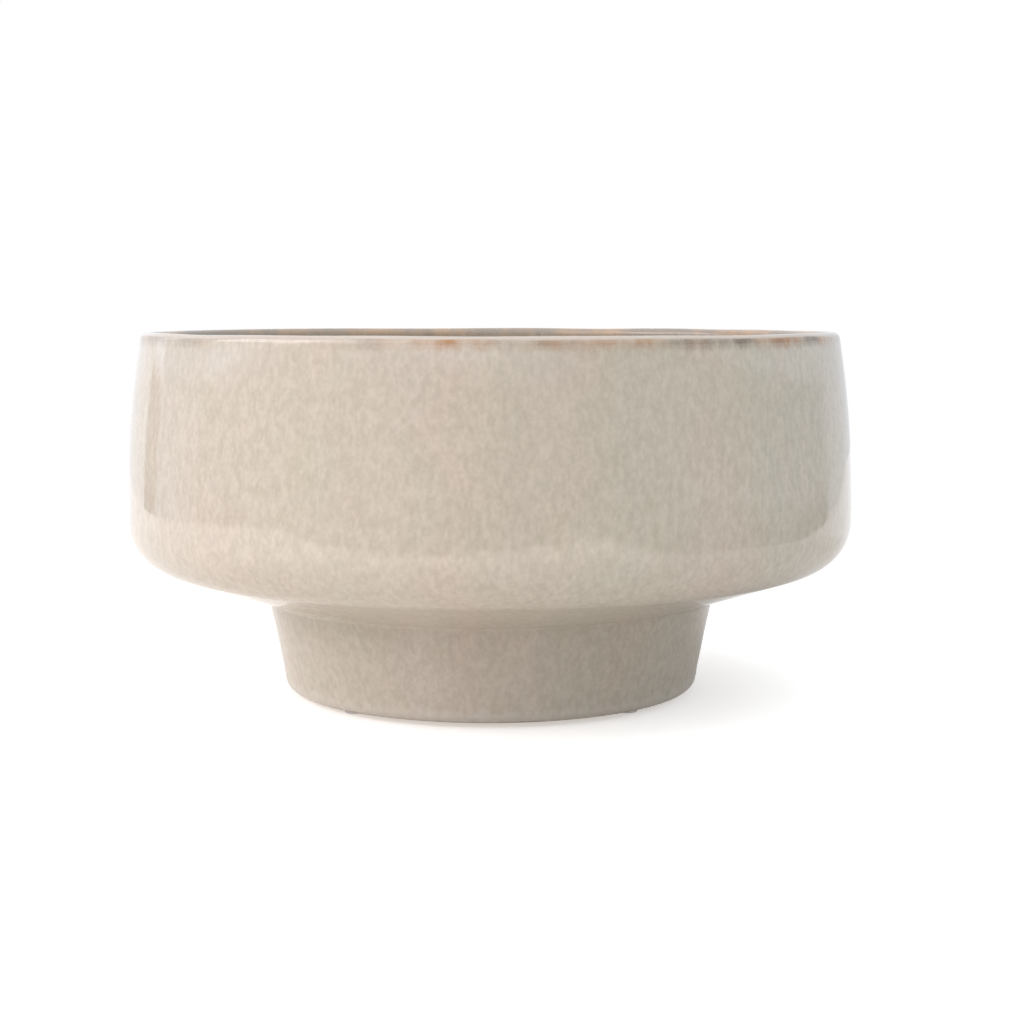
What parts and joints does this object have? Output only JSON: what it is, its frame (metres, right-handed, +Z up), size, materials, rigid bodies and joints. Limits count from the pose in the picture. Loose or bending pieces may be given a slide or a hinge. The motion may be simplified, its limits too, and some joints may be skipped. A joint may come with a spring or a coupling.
{
  "type": "bonsai pot",
  "caption": "Round footed ceramic planting bowl with a ring foot, drain hole, mesh disc, rubber stopper and foot bumpers.",
  "frame": {"origin": "centre of the foot, on the surface that the pot stands on", "axes": "+Z up along the pot's turning axis; +X to the right and +Y away from the viewer, who looks at the front"},
  "size_m": [0.3048, 0.3048, 0.1524],
  "materials": {
    "glaze": "satin-gloss speckled beige reactive glaze, breaking brown at the lip",
    "foot_glaze": "the same glaze, with a brown line at the foot's lower edge and a wiped, unglazed resting face",
    "mesh_plastic": "moulded black polypropylene mesh",
    "stopper_rubber": "matt grey-brown silicone",
    "bumper_rubber": "translucent silicone"
  },
  "bodies": {
    "pot": {"bowl": "glaze", "foot_ring": "foot_glaze", "foot_pad_front_left": "bumper_rubber", "foot_pad_front_right": "bumper_rubber", "foot_pad_back_right": "bumper_rubber", "foot_pad_back_left": "bumper_rubber"},
    "drain_mesh": {"drain_mesh": "mesh_plastic"},
    "drain_stopper": {"drain_stopper": "stopper_rubber"}
  },
  "joints": [
    {"name": "drain_mesh_lift", "type": "slide", "parent": "pot", "child": "drain_mesh", "axis": [0, 0, 1], "range_m": [0, 0.11]},
    {"name": "drain_stopper_pull", "type": "slide", "parent": "pot", "child": "drain_stopper", "axis": [0, 0, -1], "range_m": [0, 0.055]}
  ]
}
